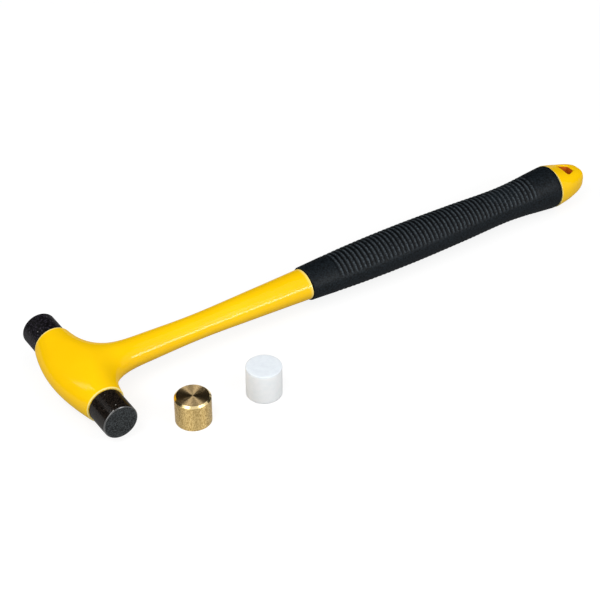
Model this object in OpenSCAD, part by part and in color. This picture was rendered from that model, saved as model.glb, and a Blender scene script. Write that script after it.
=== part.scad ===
// Soft face hammer with two mounted screw-on faces and two spare faces standing beside it.
// It lies on its side: X runs along the handle, Y along the head, Z is up.
// The origin is on the floor, under the middle of the whole set.

/* [Head] */
// length of the painted head from one collar to the other
head_length = 48.8; // [44:0.2:56]
// half width of the head at its collars
collar_half = 8.7; // [8.6:0.1:9.4]
// rounding of the collar's edge
collar_edge = 0.5; // [0.3:0.1:0.6]
// how far the head bulges away from the handle, from the head's axis
belly_half = 13; // [12:0.1:14]
// half width of the head on the handle's side, at mid length
inner_half = 9.3; // [9:0.1:10.4]
// half height of the head's barrel at mid length
head_half_height = 9; // [8.8:0.1:9.8]
// reach of the fillet between head and shaft
head_fillet = 15; // [10:0.5:16]
// distance from the head's axis at which the shaft's own form begins
shaft_root = 9; // [6:0.5:10]

/* [Shaft] */
// share of round in the handle's section: 2 is an ellipse, less is a lens
section_power = 1.9; // [1.7:0.05:2.2]
// half width of the shaft where it enters the head
root_half_width = 8.4; // [7.5:0.1:9]
// half height of the shaft where it enters the head
root_half_height = 7.1; // [6.5:0.1:8]
// distance of the shaft's upper station from the head's axis
upper_x = 30; // [25:1:35]
// half width of the shaft at its upper station
upper_half_width = 7.35; // [6.5:0.05:8.2]
// half height of the shaft at its upper station
upper_half_height = 6.15; // [5.5:0.05:7]
// distance of the shaft's thinnest place from the head's axis
neck_x = 59; // [50:1:65]
// half width of the shaft at its thinnest place
neck_half_width = 6.55; // [6:0.05:7.5]
// half height of the shaft at its thinnest place
neck_half_height = 5.45; // [5:0.05:6.2]
// distance of the shaft's lower station from the head's axis
lower_x = 90; // [80:1:100]
// half width of the shaft at its lower station
lower_half_width = 7.45; // [6.5:0.05:8.2]
// half height of the shaft at its lower station
lower_half_height = 6.2; // [5.5:0.05:7]
// distance of the grip's front edge from the head's axis
grip_x = 117; // [112:0.5:122]
// half width of the painted shaft at the grip's front edge
shoulder_half_width = 8.45; // [7.5:0.05:8.6]
// half height of the painted shaft at the grip's front edge
shoulder_half_height = 7.05; // [6:0.05:7.2]

/* [Grip] */
// half width of the grip at its front edge
front_half_width = 9.2; // [8.8:0.05:9.8]
// half height of the grip at its front edge
front_half_height = 7.75; // [7.4:0.05:8.4]
// distance of the grip's fore swell from the head's axis
fore_x = 145; // [138:1:152]
// half width of the grip at its fore swell
fore_half_width = 10.75; // [9.8:0.05:11.2]
// half height of the grip at its fore swell
fore_half_height = 9; // [8:0.05:9.4]
// distance of the grip's thickest place from the head's axis
palm_x = 175; // [165:1:185]
// half width of the grip at its thickest place
palm_half_width = 11.2; // [10.4:0.05:11.8]
// half height of the grip at its thickest place
palm_half_height = 9.4; // [8.6:0.05:9.8]
// distance of the grip's rear swell from the head's axis
rear_swell_x = 205; // [198:1:215]
// half width of the grip at its rear swell
rear_half_width = 10.6; // [9.8:0.05:11.2]
// half height of the grip at its rear swell
rear_half_height = 9.05; // [8.2:0.05:9.6]
// distance of the grip's waist from the head's axis
waist_x = 235; // [228:1:242]
// half width of the grip at its waist
waist_half_width = 9.5; // [8.8:0.05:10.2]
// half height of the grip at its waist
waist_half_height = 8.7; // [8:0.05:9.4]
// distance of the grip's bell from the head's axis
bell_x = 261.5; // [256:0.5:262.5]
// half width of the grip at its bell
bell_half_width = 11.05; // [10.6:0.05:11.4]
// half height of the grip at its bell
bell_half_height = 10.95; // [10.2:0.05:11]
// distance of the grip's rear edge from the head's axis
grip_end_x = 263.6; // [263:0.2:266]
// how far the bell's edge rounds inwards
bell_round = 0.4; // [0.2:0.1:0.8]
// thickness of the rubber sleeve
sleeve_wall = 1.8; // [1.2:0.1:2.2]
// gap between the sleeve and the painted core that it is pulled over
sleeve_gap = 0.05; // [0.02:0.01:0.1]
// gap between each edge of the sleeve and the painted shoulder beside it
edge_gap = 0.2; // [0.1:0.05:0.3]
// number of ribs along each broad side of the grip
rib_count = 48; // [36:1:48]
// distance from one rib to the next
rib_pitch = 2.45; // [2.2:0.01:2.5]
// distance of the first rib behind the grip's front edge
rib_start = 16; // [14:0.5:17]
// how deep the skin sinks between two ribs
rib_depth = 0.4; // [0.2:0.05:0.6]

/* [Tail] */
// half width of the painted tail beside the grip
tail_half_width = 10.9; // [10.4:0.05:11.2]
// half height of the painted tail beside the grip
tail_half_height = 10.4; // [9.4:0.05:10.6]
// half width of the tail at the hang hole's base
eye_half_width = 9.8; // [9:0.05:10.2]
// half height of the tail at the hang hole's base
eye_half_height = 7.4; // [6.2:0.05:7.8]
// half width of the tail near its tip
tip_half_width = 5.5; // [4.8:0.05:6]
// half height of the tail near its tip
tip_half_height = 5; // [4.4:0.05:5.4]
// length of the painted tail behind the grip
tail_length = 20.8; // [20.4:0.2:23]
// distance of the hang hole's base from the grip's rear edge
hole_start = 8.4; // [7.6:0.1:9.4]
// length of the hang hole along the handle
hole_length = 7.4; // [6.6:0.1:8]
// width of the hang hole at its base
hole_width = 8.6; // [7.6:0.1:9]
// corner radius of the hang hole
hole_corner = 1.2; // [0.8:0.1:1.5]

/* [Faces] */
// diameter of every screw-on face
face_d = 16; // [15:0.1:16.4]
// height of the mounted faces and of the brass face
face_height = 13.4; // [12.5:0.1:14.5]
// height of the nylon face
nylon_height = 15; // [14:0.1:16]
// edge break of the moulded and nylon faces
face_round = 0.7; // [0.3:0.1:1]
// edge chamfer of the brass face
brass_chamfer = 0.5; // [0.3:0.1:0.8]
// depth of the threaded hole in every face
thread_depth = 9.6; // [8:0.1:10.4]
// thread diameter of the studs
thread_d = 8; // [6:0.1:8]
// running clearance of a stud in its thread, all round
thread_clearance = 0.05; // [0.02:0.01:0.1]
// outer diameter of the threaded inserts in the moulded faces
insert_d = 11; // [10:0.1:12]
// running clearance round an insert
insert_clearance = 0.05; // [0.02:0.01:0.1]
// gap between a mounted face and the collar that it is screwed against
seat_gap = 0.05; // [0.02:0.01:0.1]
// how far a stud stands out of its collar
stud_out = 9; // [7.5:0.1:9.4]
// how deep a stud is screwed into the head
stud_in = 13; // [10:0.5:15]
// edge break of the studs and of the threaded mouths
thread_break = 0.6; // [0.3:0.1:0.9]

/* [Spare faces] */
// distance of the brass face behind the head's axis, along the handle
brass_x = 32.3; // [28:0.1:36]
// distance of the brass face to the front of the handle's axis
brass_y = 41.9; // [38:0.1:45]
// distance of the nylon face behind the head's axis, along the handle
nylon_x = 66.9; // [62:0.1:72]
// distance of the nylon face to the front of the handle's axis
nylon_y = 43.7; // [40:0.1:47]

/* [Hidden] */
$fn = 96;

// points along each half of a section, and steps of the section solver
section_count = 16;
half_points = round(section_count);
ribs = round(rib_count);
solver_count = 24;
solver_steps = round(solver_count);
// shares of the belly, of the ends and of the fillet at which sections are taken
belly_shares = [0.995, 0.97, 0.93, 0.87, 0.8];
end_count = 7;
end_steps = round(end_count);
fillet_shares = [0.05, 0.14, 0.26, 0.4, 0.55, 0.72, 0.88, 1];
// length of the head's fillet zone along the shaft, as a share of the fillet
fillet_zone_share = 1.6;
// turn between two points of a rounded corner, in degrees
corner_turn = 15;
// shares of the tail at which sections are taken, and where its named stations lie
tail_shares = [0, 0.1, 0.2, 0.3, 0.4, 0.52, 0.64, 0.74, 0.83, 0.9, 0.95, 0.985, 1];
tip_share = 0.86;
end_width_share = 0.16;
end_height_share = 0.5;
// flatness of the tail's section beside the grip and at its tip
tail_power = 2.2;
tip_power = 3.2;
// turn from the middle of a broad side at which the ribs start to fade, and where they have gone
rib_full_turn = 50;
rib_gone_turn = 68;
// shares of the bell's rounded edge at which sections are taken
bell_shares = [0.35, 0.7, 0.9, 1];
// overrun of every cut
over = 1;

head_half = head_length / 2;
face_r = face_d / 2;
stud_r = thread_d / 2;
bore_r = stud_r + thread_clearance;
insert_r = insert_d / 2;
pocket_r = insert_r + insert_clearance;
tail_end_x = grip_end_x + tail_length;
belly_front = belly_half * belly_shares[0];

// stations of the painted shaft: distance, half width, half height
shaft_stations = [
    [0, root_half_width, root_half_height],
    [upper_x, upper_half_width, upper_half_height],
    [neck_x, neck_half_width, neck_half_height],
    [lower_x, lower_half_width, lower_half_height],
    [grip_x, shoulder_half_width, shoulder_half_height]];

// stations of the grip's outside
grip_stations = [
    [grip_x, front_half_width, front_half_height],
    [fore_x, fore_half_width, fore_half_height],
    [palm_x, palm_half_width, palm_half_height],
    [rear_swell_x, rear_half_width, rear_half_height],
    [waist_x, waist_half_width, waist_half_height],
    [bell_x, bell_half_width, bell_half_height]];

// stations of the tail
tail_stations = [
    [grip_end_x, tail_half_width, tail_half_height],
    [grip_end_x + hole_start, eye_half_width, eye_half_height],
    [grip_end_x + tail_length * tip_share, tip_half_width, tip_half_height],
    [tail_end_x, tip_half_width * end_width_share, tip_half_height * end_height_share]];

// slope of column c at station i
function slope(s, i, c) =
    i == 0 ? (s[1][c] - s[0][c]) / (s[1][0] - s[0][0]) :
    i == len(s) - 1 ? (s[i][c] - s[i - 1][c]) / (s[i][0] - s[i - 1][0]) :
    (s[i + 1][c] - s[i - 1][c]) / (s[i + 1][0] - s[i - 1][0]);

// smooth value of column c at distance x through the stations
function along(s, x, c, i = 0) =
    i < len(s) - 2 && x > s[i + 1][0] ? along(s, x, c, i + 1) :
    let (h = s[i + 1][0] - s[i][0], t = (x - s[i][0]) / h)
    s[i][c] * (2 * t * t * t - 3 * t * t + 1) + slope(s, i, c) * h * (t * t * t - 2 * t * t + t)
    + s[i + 1][c] * (3 * t * t - 2 * t * t * t) + slope(s, i + 1, c) * h * (t * t * t - t * t);

// rounded drop of the head's barrel towards its collar's edge
function edge_drop(y) =
    let (e = max(0, abs(y) - head_half + collar_edge))
    collar_edge - sqrt(max(0, collar_edge * collar_edge - e * e));

// half width of the barrel at y, on the belly's side or on the handle's side
function barrel_width(x, y) =
    let (m = x < 0 ? belly_half : inner_half, q = y / head_half)
    m - (m - collar_half) * q * q - edge_drop(y);

// half height of the barrel at y
function barrel_height(y) =
    let (q = y / head_half)
    head_half_height - (head_half_height - collar_half) * q * q - edge_drop(y);

// distance from the barrel's surface, negative inside
function barrel_far(x, y, z) =
    let (w = barrel_width(x, y), h = barrel_height(y))
    (norm([x / w, z / h]) - 1) * h;

// distance from the shaft's surface, negative inside
function shaft_far(x, y, z) =
    let (a = along(shaft_stations, max(0, x), 1), b = along(shaft_stations, max(0, x), 2),
        k = pow(pow(abs(y) / a, section_power) + pow(abs(z) / b, section_power), 1 / section_power))
    max((k - 1) * b, shaft_root - x);

// barrel and shaft joined by a fillet
function head_far(x, y, z) =
    let (d = barrel_far(x, y, z), s = shaft_far(x, y, z),
        h = max(0, head_fillet - abs(d - s)) / head_fillet)
    min(d, s) - h * h * head_fillet / 4;

// surface height above (x, y), by halving
function height_at(x, y, lo, hi, n = solver_steps) =
    n == 0 ? (lo + hi) / 2 :
    let (m = (lo + hi) / 2)
    head_far(x, y, m) < 0 ? height_at(x, y, m, hi, n - 1) : height_at(x, y, lo, m, n - 1);

// surface width at x, by halving
function width_at(x, lo, hi, n = solver_steps) =
    n == 0 ? (lo + hi) / 2 :
    let (m = (lo + hi) / 2)
    head_far(x, m, 0) < 0 ? width_at(x, m, hi, n - 1) : width_at(x, lo, m, n - 1);

// upper half of a section through the head at x
function head_top(x) =
    let (flat = head_far(x, head_half, 0) < 0, w = flat ? head_half : width_at(x, 0, head_half))
    [for (j = [0 : half_points - 1])
        let (t = flat ? j * 180 / (half_points - 1) : (j + 1 / 2) * 180 / half_points, y = w * cos(t))
        [x, y, height_at(x, y, 0, 2 * belly_half)]];

// upper half of a rounded section with half width a, half height b and power p
function round_top(x, a, b, p) =
    [for (j = [0 : half_points - 1])
        let (t = (j + 1 / 2) * 180 / half_points, c = cos(t), s = sin(t))
        [x, a * sign(c) * pow(abs(c), 2 / p), b * pow(s, 2 / p)]];

// whole section from its upper half
function ring(top) =
    concat(top, [for (j = [len(top) - 1 : -1 : 0]) [top[j][0], top[j][1], -top[j][2]]]);

// distances of the sections through the head and the fillet
function head_xs() = concat(
    [for (s = belly_shares) -belly_half * s],
    [for (i = [0 : 2 * end_steps]) -(collar_half - collar_edge / 2) * cos(i * 180 / (2 * end_steps))],
    [for (s = fillet_shares) collar_half + s * fillet_zone_share * head_fillet]);

// distances of the sections along the painted shaft
function shaft_xs() =
    let (x0 = collar_half + fillet_zone_share * head_fillet, n = len(fillet_shares))
    [for (i = [1 : n]) x0 + (grip_x - edge_gap - x0) * i / n];

// distances of the sections along the core and the sleeve
function grip_xs() = concat(
    [for (i = [0 : half_points]) grip_x + (bell_x - grip_x) * i / half_points],
    [for (s = bell_shares) bell_x + (grip_end_x - bell_x) * s]);

// half width (c = 1) or half height (c = 2) of the grip at x, with its rounded bell
function grip_half(x, c) =
    x <= bell_x ? along(grip_stations, x, c) :
    let (t = min(1, (x - bell_x) / (grip_end_x - bell_x)))
    grip_stations[len(grip_stations) - 1][c] - bell_round * (1 - sqrt(max(0, 1 - t * t)));

// half width or half height of the painted core under the sleeve at x
function core_half(x, c) = grip_half(x, c) - sleeve_wall;

// sections of the painted body from the belly to the tail's tip
function body_rings() = concat(
    [for (x = head_xs()) ring(head_top(x))],
    [for (x = shaft_xs())
        ring(round_top(x, along(shaft_stations, x, 1), along(shaft_stations, x, 2), section_power))],
    [for (x = grip_xs()) ring(round_top(x, core_half(x, 1), core_half(x, 2), section_power))],
    [for (s = tail_shares)
        let (x = grip_end_x + edge_gap + (tail_length - edge_gap) * s,
            p = tail_power + (tip_power - tail_power) * min(1, s / tip_share))
        ring(round_top(x, along(tail_stations, x, 1), along(tail_stations, x, 2), p))]);

// distances and depths of the sections over the ribs: a crest on each rib, a groove half a pitch later
function rib_xs() =
    [for (i = [0 : 2 * ribs - 2]) [grip_x + rib_start + i * rib_pitch / 2, i % 2 * rib_depth]];

// distances and depths of all sections of the grip's outside: smooth front, ribs, smooth rear
function skin_xs() =
    let (first = grip_x + rib_start, last = first + (ribs - 1) * rib_pitch)
    concat(
        [for (x = grip_xs()) if (x < first - rib_pitch) [x, 0]],
        rib_xs(),
        [for (x = grip_xs()) if (x > last + rib_pitch / 2) [x, 0]]);

// share of a rib's depth at point j of a section: whole on the broad sides, none on the narrow ones
function rib_share(j) =
    let (turn = abs((j + 1 / 2) * 180 / half_points - 90))
    max(0, min(1, (rib_gone_turn - turn) / (rib_gone_turn - rib_full_turn)));

// upper half of the grip's outside at x, sunk between the ribs
function rib_top(x, sink) =
    let (top = round_top(x, grip_half(x, 1), grip_half(x, 2), section_power))
    [for (j = [0 : half_points - 1])
        let (q = sink * rib_share(j) / norm([top[j][1], top[j][2]]))
        [x, top[j][1] * (1 - q), top[j][2] * (1 - q)]];

// sections of the grip's outside
function outer_rings() = [for (s = skin_xs()) ring(rib_top(s[0], s[1]))];

// sections of the grip's inside
function inner_rings(inset) =
    [for (x = grip_xs())
        ring(round_top(x, grip_half(x, 1) - inset, grip_half(x, 2) - inset, section_power))];

// triangles of the wall between ring i and ring i + 1, each with n points
function wall(i, n, flip) =
    [for (j = [0 : n - 1], h = [0, 1])
        let (a = i * n + j, b = i * n + (j + 1) % n, c = a + n, d = b + n)
        flip ? (h == 0 ? [a, b, c] : [b, d, c]) : (h == 0 ? [a, c, b] : [b, c, d])];

// closed skin over a row of rings
module skin(rings) {
    n = len(rings[0]);
    m = len(rings);
    polyhedron(
        points = [for (r = rings, p = r) p],
        faces = concat(
            [for (i = [0 : m - 2], f = wall(i, n, false)) f],
            [[for (j = [0 : n - 1]) j]],
            [[for (j = [n - 1 : -1 : 0]) (m - 1) * n + j]]));
}

// highest point of the body above the handle's axis: the same below, where it rests
body_set = body_rings();
rise = max([for (r = body_set, p = r) p[2]]);

// the head's place over the origin
head_x = -(tail_end_x - belly_front) / 2;
head_y = (nylon_y + face_r - head_half - seat_gap - face_height) / 2;

// puts a hammer piece in place, from the crossing of the head's and handle's axes
module placed() {
    translate([head_x, head_y, rise]) children();
}

// turns a piece that is drawn standing on Z to point out of the front or the rear collar
module out_of(side) {
    rotate([side > 0 ? -90 : 90, 0, 0]) translate([0, 0, head_half]) children();
}

// corners of the hang hole, rounded by arcs
function hole_outline() =
    let (x0 = hole_corner, x1 = hole_length - hole_corner, w = hole_width / 2 - hole_corner)
    concat(
        [for (t = [180 : corner_turn : 270]) [x0 + hole_corner * cos(t), -w + hole_corner * sin(t)]],
        [for (t = [-60 : corner_turn : 60]) [x1 + hole_corner * cos(t), hole_corner * sin(t)]],
        [for (t = [90 : corner_turn : 180]) [x0 + hole_corner * cos(t), w + hole_corner * sin(t)]]);

// one-piece painted head, shaft and tail
module body() {
    color("#f7c414") placed() difference() {
        skin(body_set);
        for (side = [-1, 1])
            out_of(side) translate([0, 0, -stud_in]) cylinder(r = bore_r, h = stud_in + over);
        translate([grip_end_x + hole_start, 0, -rise])
            linear_extrude(2 * rise) polygon(hole_outline());
    }
}

// rubber sleeve over the core
module grip_sleeve() {
    n = 2 * half_points;
    outer = outer_rings();
    inner = inner_rings(sleeve_wall - sleeve_gap);
    m = len(outer);
    k = len(inner);
    color("#23262b") placed() polyhedron(
        points = [for (r = concat(outer, inner), p = r) p],
        faces = concat(
            [for (i = [0 : m - 2], f = wall(i, n, false)) f],
            [for (i = [m : m + k - 2], f = wall(i, n, true)) f],
            [for (j = [0 : n - 1], h = [0, 1])
                let (a = j, b = (j + 1) % n, c = m * n + a, d = m * n + b)
                h == 0 ? [a, b, c] : [b, d, c]],
            [for (j = [0 : n - 1], h = [0, 1])
                let (a = (m - 1) * n + j, b = (m - 1) * n + (j + 1) % n, c = a + k * n, d = b + k * n)
                h == 0 ? [a, c, b] : [b, c, d]]));
}

// threaded stud, drawn plain, from the bottom of its hole to its free end
module stud() {
    rotate_extrude() polygon([
        [0, -stud_in],
        [stud_r, -stud_in],
        [stud_r, stud_out - thread_break],
        [stud_r - thread_break, stud_out],
        [0, stud_out]]);
}

module front_stud() {
    color("#b9bcc0") placed() out_of(-1) stud();
}

module rear_stud() {
    color("#b9bcc0") placed() out_of(1) stud();
}

// metal insert with the thread, moulded into a face
module insert() {
    rotate_extrude() polygon([
        [bore_r, seat_gap],
        [insert_r, seat_gap],
        [insert_r, thread_depth],
        [bore_r, thread_depth]]);
}

module front_insert() {
    color("#b08d3c") placed() out_of(-1) insert();
}

module rear_insert() {
    color("#b08d3c") placed() out_of(1) insert();
}

// moulded face with a pocket for its insert
module moulded_face() {
    depth = thread_depth + insert_clearance;
    top = seat_gap + face_height;
    rotate_extrude() polygon(concat(
        [[pocket_r, seat_gap], [face_r, seat_gap]],
        [for (t = [0 : corner_turn : 90])
            [face_r - face_round + face_round * cos(t), top - face_round + face_round * sin(t)]],
        [[0, top], [0, depth], [pocket_r, depth]]));
}

module front_face() {
    color("#17181a") placed() out_of(-1) moulded_face();
}

module rear_face() {
    color("#1d2024") placed() out_of(1) moulded_face();
}

// solid face tapped from below, with a broken edge at both ends
module tapped_face(height, edge) {
    rotate_extrude() polygon([
        [bore_r + thread_break, 0],
        [face_r - edge, 0],
        [face_r, edge],
        [face_r, height - edge],
        [face_r - edge, height],
        [0, height],
        [0, thread_depth],
        [bore_r, thread_depth],
        [bore_r, thread_break]]);
}

module brass_face() {
    color("#c9a24a") translate([head_x + brass_x, head_y - brass_y, 0])
        tapped_face(face_height, brass_chamfer);
}

module nylon_face() {
    color("#f1f1ee") translate([head_x + nylon_x, head_y - nylon_y, 0])
        tapped_face(nylon_height, face_round);
}

body();
grip_sleeve();
front_stud();
rear_stud();
front_insert();
rear_insert();
front_face();
rear_face();
brass_face();
nylon_face();
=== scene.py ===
import math
import bmesh
import bpy
import numpy as np
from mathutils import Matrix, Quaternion, Vector


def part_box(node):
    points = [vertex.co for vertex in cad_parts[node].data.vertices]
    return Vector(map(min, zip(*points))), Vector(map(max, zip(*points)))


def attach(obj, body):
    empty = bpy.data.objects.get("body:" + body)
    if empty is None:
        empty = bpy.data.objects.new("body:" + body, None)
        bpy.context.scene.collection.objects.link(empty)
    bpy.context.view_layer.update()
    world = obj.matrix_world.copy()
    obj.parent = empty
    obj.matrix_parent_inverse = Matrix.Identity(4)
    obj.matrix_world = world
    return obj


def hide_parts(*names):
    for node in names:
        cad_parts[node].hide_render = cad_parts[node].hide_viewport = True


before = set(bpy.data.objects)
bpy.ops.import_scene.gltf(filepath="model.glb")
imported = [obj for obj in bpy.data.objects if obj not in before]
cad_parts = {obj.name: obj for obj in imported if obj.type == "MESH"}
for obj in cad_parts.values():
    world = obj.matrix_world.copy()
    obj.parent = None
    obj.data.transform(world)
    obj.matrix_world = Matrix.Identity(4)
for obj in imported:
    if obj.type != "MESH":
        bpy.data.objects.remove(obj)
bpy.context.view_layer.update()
mm = 0.001
mergeGap, slimGap = 2e-6, 1e-7  # points nearer than the first become one, edges shorter than the second go

# where the head's axis and the handle's axis cross, read from the frame
frontLow, frontHigh = (np.array(c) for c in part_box("front_face"))
rearLow, rearHigh = (np.array(c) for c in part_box("rear_face"))
crossing = np.array([
    (frontLow[0] + frontHigh[0]) / 2,
    (frontLow[1] + rearHigh[1]) / 2,
    (frontLow[2] + frontHigh[2]) / 2])
crown = (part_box("body")[1][2] - crossing[2]) / mm  # height of the body's highest point over the axes
print("frame loaded, axes cross at", np.round(crossing, 4))


def linear(hexColour):  # sRGB hex to linear RGBA
    c = np.array([int(hexColour[i:i + 2], 16) for i in (1, 3, 5)]) / 255
    c = np.where(c <= 0.04045, c / 12.92, ((c + 0.055) / 1.055) ** 2.4)
    return (*c.tolist(), 1.0)


def node(owner, kind, settings=None, links=None):  # one node with its settings and incoming links
    n = owner.node_tree.nodes.new(kind)
    for key, value in (settings or {}).items():
        if key == "stops":  # colour ramp, as (place, hex)
            for extra in value[2:]:
                n.color_ramp.elements.new(extra[0])
            for stop, (place, colour) in zip(n.color_ramp.elements, value):
                stop.position, stop.color = place, linear(colour)
        elif isinstance(key, str) and hasattr(n, key):
            setattr(n, key, value)
        else:
            n.inputs[key].default_value = value
    for key, source in (links or {}).items():
        owner.node_tree.links.new(source, n.inputs[key])
    return n


def newMaterial(name):
    m = bpy.data.materials.new(name)
    m.use_nodes = True
    m.node_tree.nodes.clear()
    return m


def addPiece(name, grids, materials, sharp, body, stands):
    # grids are (rows, columns, 3) arrays in metres; each becomes quads, and equal points are merged
    points, faces, tones, base = [], [], [], 0
    for g in grids:
        rows, cols = g["p"].shape[:2]
        index = base + np.arange(rows * cols).reshape(rows, cols)
        if g.get("wrapRows"):
            index = np.vstack([index, index[:1]])
        if g.get("wrapCols"):
            index = np.hstack([index, index[:, :1]])
        quads = np.stack([index[:-1, :-1], index[1:, :-1], index[1:, 1:], index[:-1, 1:]], -1)
        quads = quads.reshape(-1, 4)
        points.append(g["p"].reshape(-1, 3))
        faces.append(np.hstack([quads, np.full((len(quads), 1), g.get("mat", 0))]))
        tones.append(g.get("tone", np.zeros((rows, cols))).ravel())
        base += rows * cols
    points, faces = np.vstack(points), np.vstack(faces)
    mesh = bpy.data.meshes.new(name)
    mesh.from_pydata(points.tolist(), [], faces[:, :4].tolist())
    mesh.polygons.foreach_set("material_index", faces[:, 4].astype(np.int32))
    if any("tone" in g for g in grids):
        mesh.attributes.new("tone", "FLOAT", "POINT").data.foreach_set("value", np.concatenate(tones))
    for m in materials:
        mesh.materials.append(m)
    bm = bmesh.new()
    bm.from_mesh(mesh)
    bmesh.ops.remove_doubles(bm, verts=bm.verts, dist=mergeGap)
    bmesh.ops.dissolve_degenerate(bm, edges=bm.edges, dist=slimGap)
    bmesh.ops.recalc_face_normals(bm, faces=bm.faces)
    bm.to_mesh(mesh)
    bm.free()
    mesh.shade_smooth()
    mesh.set_sharp_from_angle(angle=math.radians(sharp))
    piece = bpy.data.objects.new(name, mesh)
    bpy.context.scene.collection.objects.link(piece)
    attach(piece, body)
    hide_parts(*stands)
    print(name, len(mesh.polygons), "faces")
    return piece


# painted body: head, shaft and tail, in millimetres from the crossing of the axes
paintedBody = {
    "headHalf": 24.4, "collarHalf": 8.7, "collarEdge": 0.5, "bellyHalf": 12.92, "innerHalf": 9.3,
    "headHalfHeight": 9.0, "headFillet": 22.5, "halfTurn": 3.0, "rootEase": 8.0, "shaftRoot": 9.0,
    "sectionPower": 1.9, "cut": 36.0, "levelFrom": 6.0, "boreRadius": 4.05, "boreDepth": 13.0,
    "gripStart": 117.0, "gripEnd": 263.6, "edgeGap": 0.2, "lip": 0.35, "lipFrom": 0.2, "stepDown": 0.02,
    "sleeveWall": 1.8, "coreFrom": 0.3, "coreInTail": 2.0,
    "tailLength": 20.8, "tailPower": 2.2, "tipPower": 3.2, "tipShare": 0.86,
    "holeStart": 7.6, "holeLength": 6.2, "holeWidth": 9.4, "holeTip": 5.4, "holeCorner": 1.0,
    "holeRound": 0.6, "holeMiddleShare": 0.42,
    # points over the shaft's width, the rest of the head, a collar's edge and half a turn, and its crowding
    "acrossShaft": 65, "acrossHead": 45, "acrossEdge": 10, "halfAround": 110, "crowding": 1.5,
    "collarRings": 6, "boreStep": 0.3, "shaftRings": 60, "lipRings": 6, "coreRings": 12,
    "tailRays": 161, "frontRays": 61, "tailRings": 40, "rimRings": 7, "wallRings": 9, "farAway": 40.0,
    # edge bands: the collars' edges, the lip at the grip and the tail's front rim are drawn pale, as wear and
    # as a painted highlight
    "wearHighlightFront": 0.38, "wearHighlightRear": 1.1, "wearHighlightLip": 0.6, "wearHighlightSteep": 1.5,
    "peelSize": 1.6, "driftSize": 22.0, "mottleSize": 2.2, "sharp": 35,
    # the pale edge colour is wear and a painted highlight; the two hole colours are painted shade in the hang
    # hole
    "paintDark": "#F8C405", "paintLight": "#FDCB09", "edgeWearHighlight": "#FFEA92",
    "holeShadeDark": "#C66117", "holeShadeLight": "#D8721D"}
# stations along the handle: distance, half width, half height
shaftStations = np.array([
    [0, 8.4, 7.1], [30, 7.35, 6.15], [59, 6.55, 5.45], [90, 7.45, 6.2], [117, 8.45, 7.05]])
gripStations = np.array([
    [117, 9.2, 7.75], [145, 10.75, 9.0], [175, 11.2, 9.4],
    [205, 10.6, 9.05], [235, 9.5, 8.7], [261.5, 11.05, 10.95]])
tailStations = np.array([
    [263.6, 10.9, 10.4], [272.0, 9.8, 7.4], [281.488, 5.5, 5.0], [284.4, 0.88, 2.5]])


def along(stations, x):
    # smooth curve through the stations: cubic pieces whose slopes are the slopes between neighbours
    xs, vs = stations[:, 0], stations[:, 1:]
    slope = np.empty_like(vs)
    slope[0] = (vs[1] - vs[0]) / (xs[1] - xs[0])
    slope[-1] = (vs[-1] - vs[-2]) / (xs[-1] - xs[-2])
    slope[1:-1] = (vs[2:] - vs[:-2]) / (xs[2:] - xs[:-2])[:, None]
    x = np.asarray(x, float)
    i = np.clip(np.searchsorted(xs, x) - 1, 0, len(xs) - 2)
    h = (xs[i + 1] - xs[i])[..., None]
    t = (x - xs[i])[..., None] / h
    v = (vs[i] * (2 * t**3 - 3 * t**2 + 1) + slope[i] * h * (t**3 - 2 * t**2 + t)
         + vs[i + 1] * (3 * t**2 - 2 * t**3) + slope[i + 1] * h * (t**3 - t**2))
    return v[..., 0], v[..., 1]


def roundHeight(y, a, b, p):  # height of a superellipse with half axes a and b at y
    return b * np.maximum(0, 1 - np.minimum(1, np.abs(y) / a) ** p) ** (1 / p)


def reach(inside, far, halvings=44):  # length of each ray to the edge of a region, by halving
    lo, hi = np.zeros(far.shape), far.copy()
    for _ in range(halvings):
        mid = (lo + hi) / 2
        ok = inside(mid)
        lo, hi = np.where(ok, mid, lo), np.where(ok, hi, mid)
    return (lo + hi) / 2


def headGap(x, y, z):
    # distance from the blended form: smooth minimum of a bellied barrel along Y and the shaft along X;
    # the blends are cubic and the shaft's root is rounded off, so that reflections run on without a kink
    s = paintedBody
    e = np.maximum(0, np.abs(y) - s["headHalf"] + s["collarEdge"])
    drop = s["collarEdge"] - np.sqrt(np.maximum(0, s["collarEdge"] ** 2 - e * e))
    q = (y / s["headHalf"]) ** 2
    bellied = 0.5 - 0.5 * np.tanh(x / s["halfTurn"])
    m = s["innerHalf"] + (s["bellyHalf"] - s["innerHalf"]) * bellied
    w = m - (m - s["collarHalf"]) * q - drop
    h = s["headHalfHeight"] - (s["headHalfHeight"] - s["collarHalf"]) * q - drop
    barrel = (np.hypot(x / w, z / h) - 1) * h
    a, b = along(shaftStations, np.maximum(0, x))
    p = s["sectionPower"]
    k = ((np.abs(y) / a) ** p + (np.abs(z) / b) ** p) ** (1 / p)
    beside, behind, ease = (k - 1) * b, s["shaftRoot"] - x, s["rootEase"]
    soft = np.maximum(0, ease - np.abs(beside - behind)) / ease
    shaft = np.maximum(beside, behind) + soft**3 * ease / 6
    f = s["headFillet"]
    blend = np.maximum(0, f - np.abs(barrel - shaft)) / f
    return np.minimum(barrel, shaft) - blend**3 * f / 6


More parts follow.
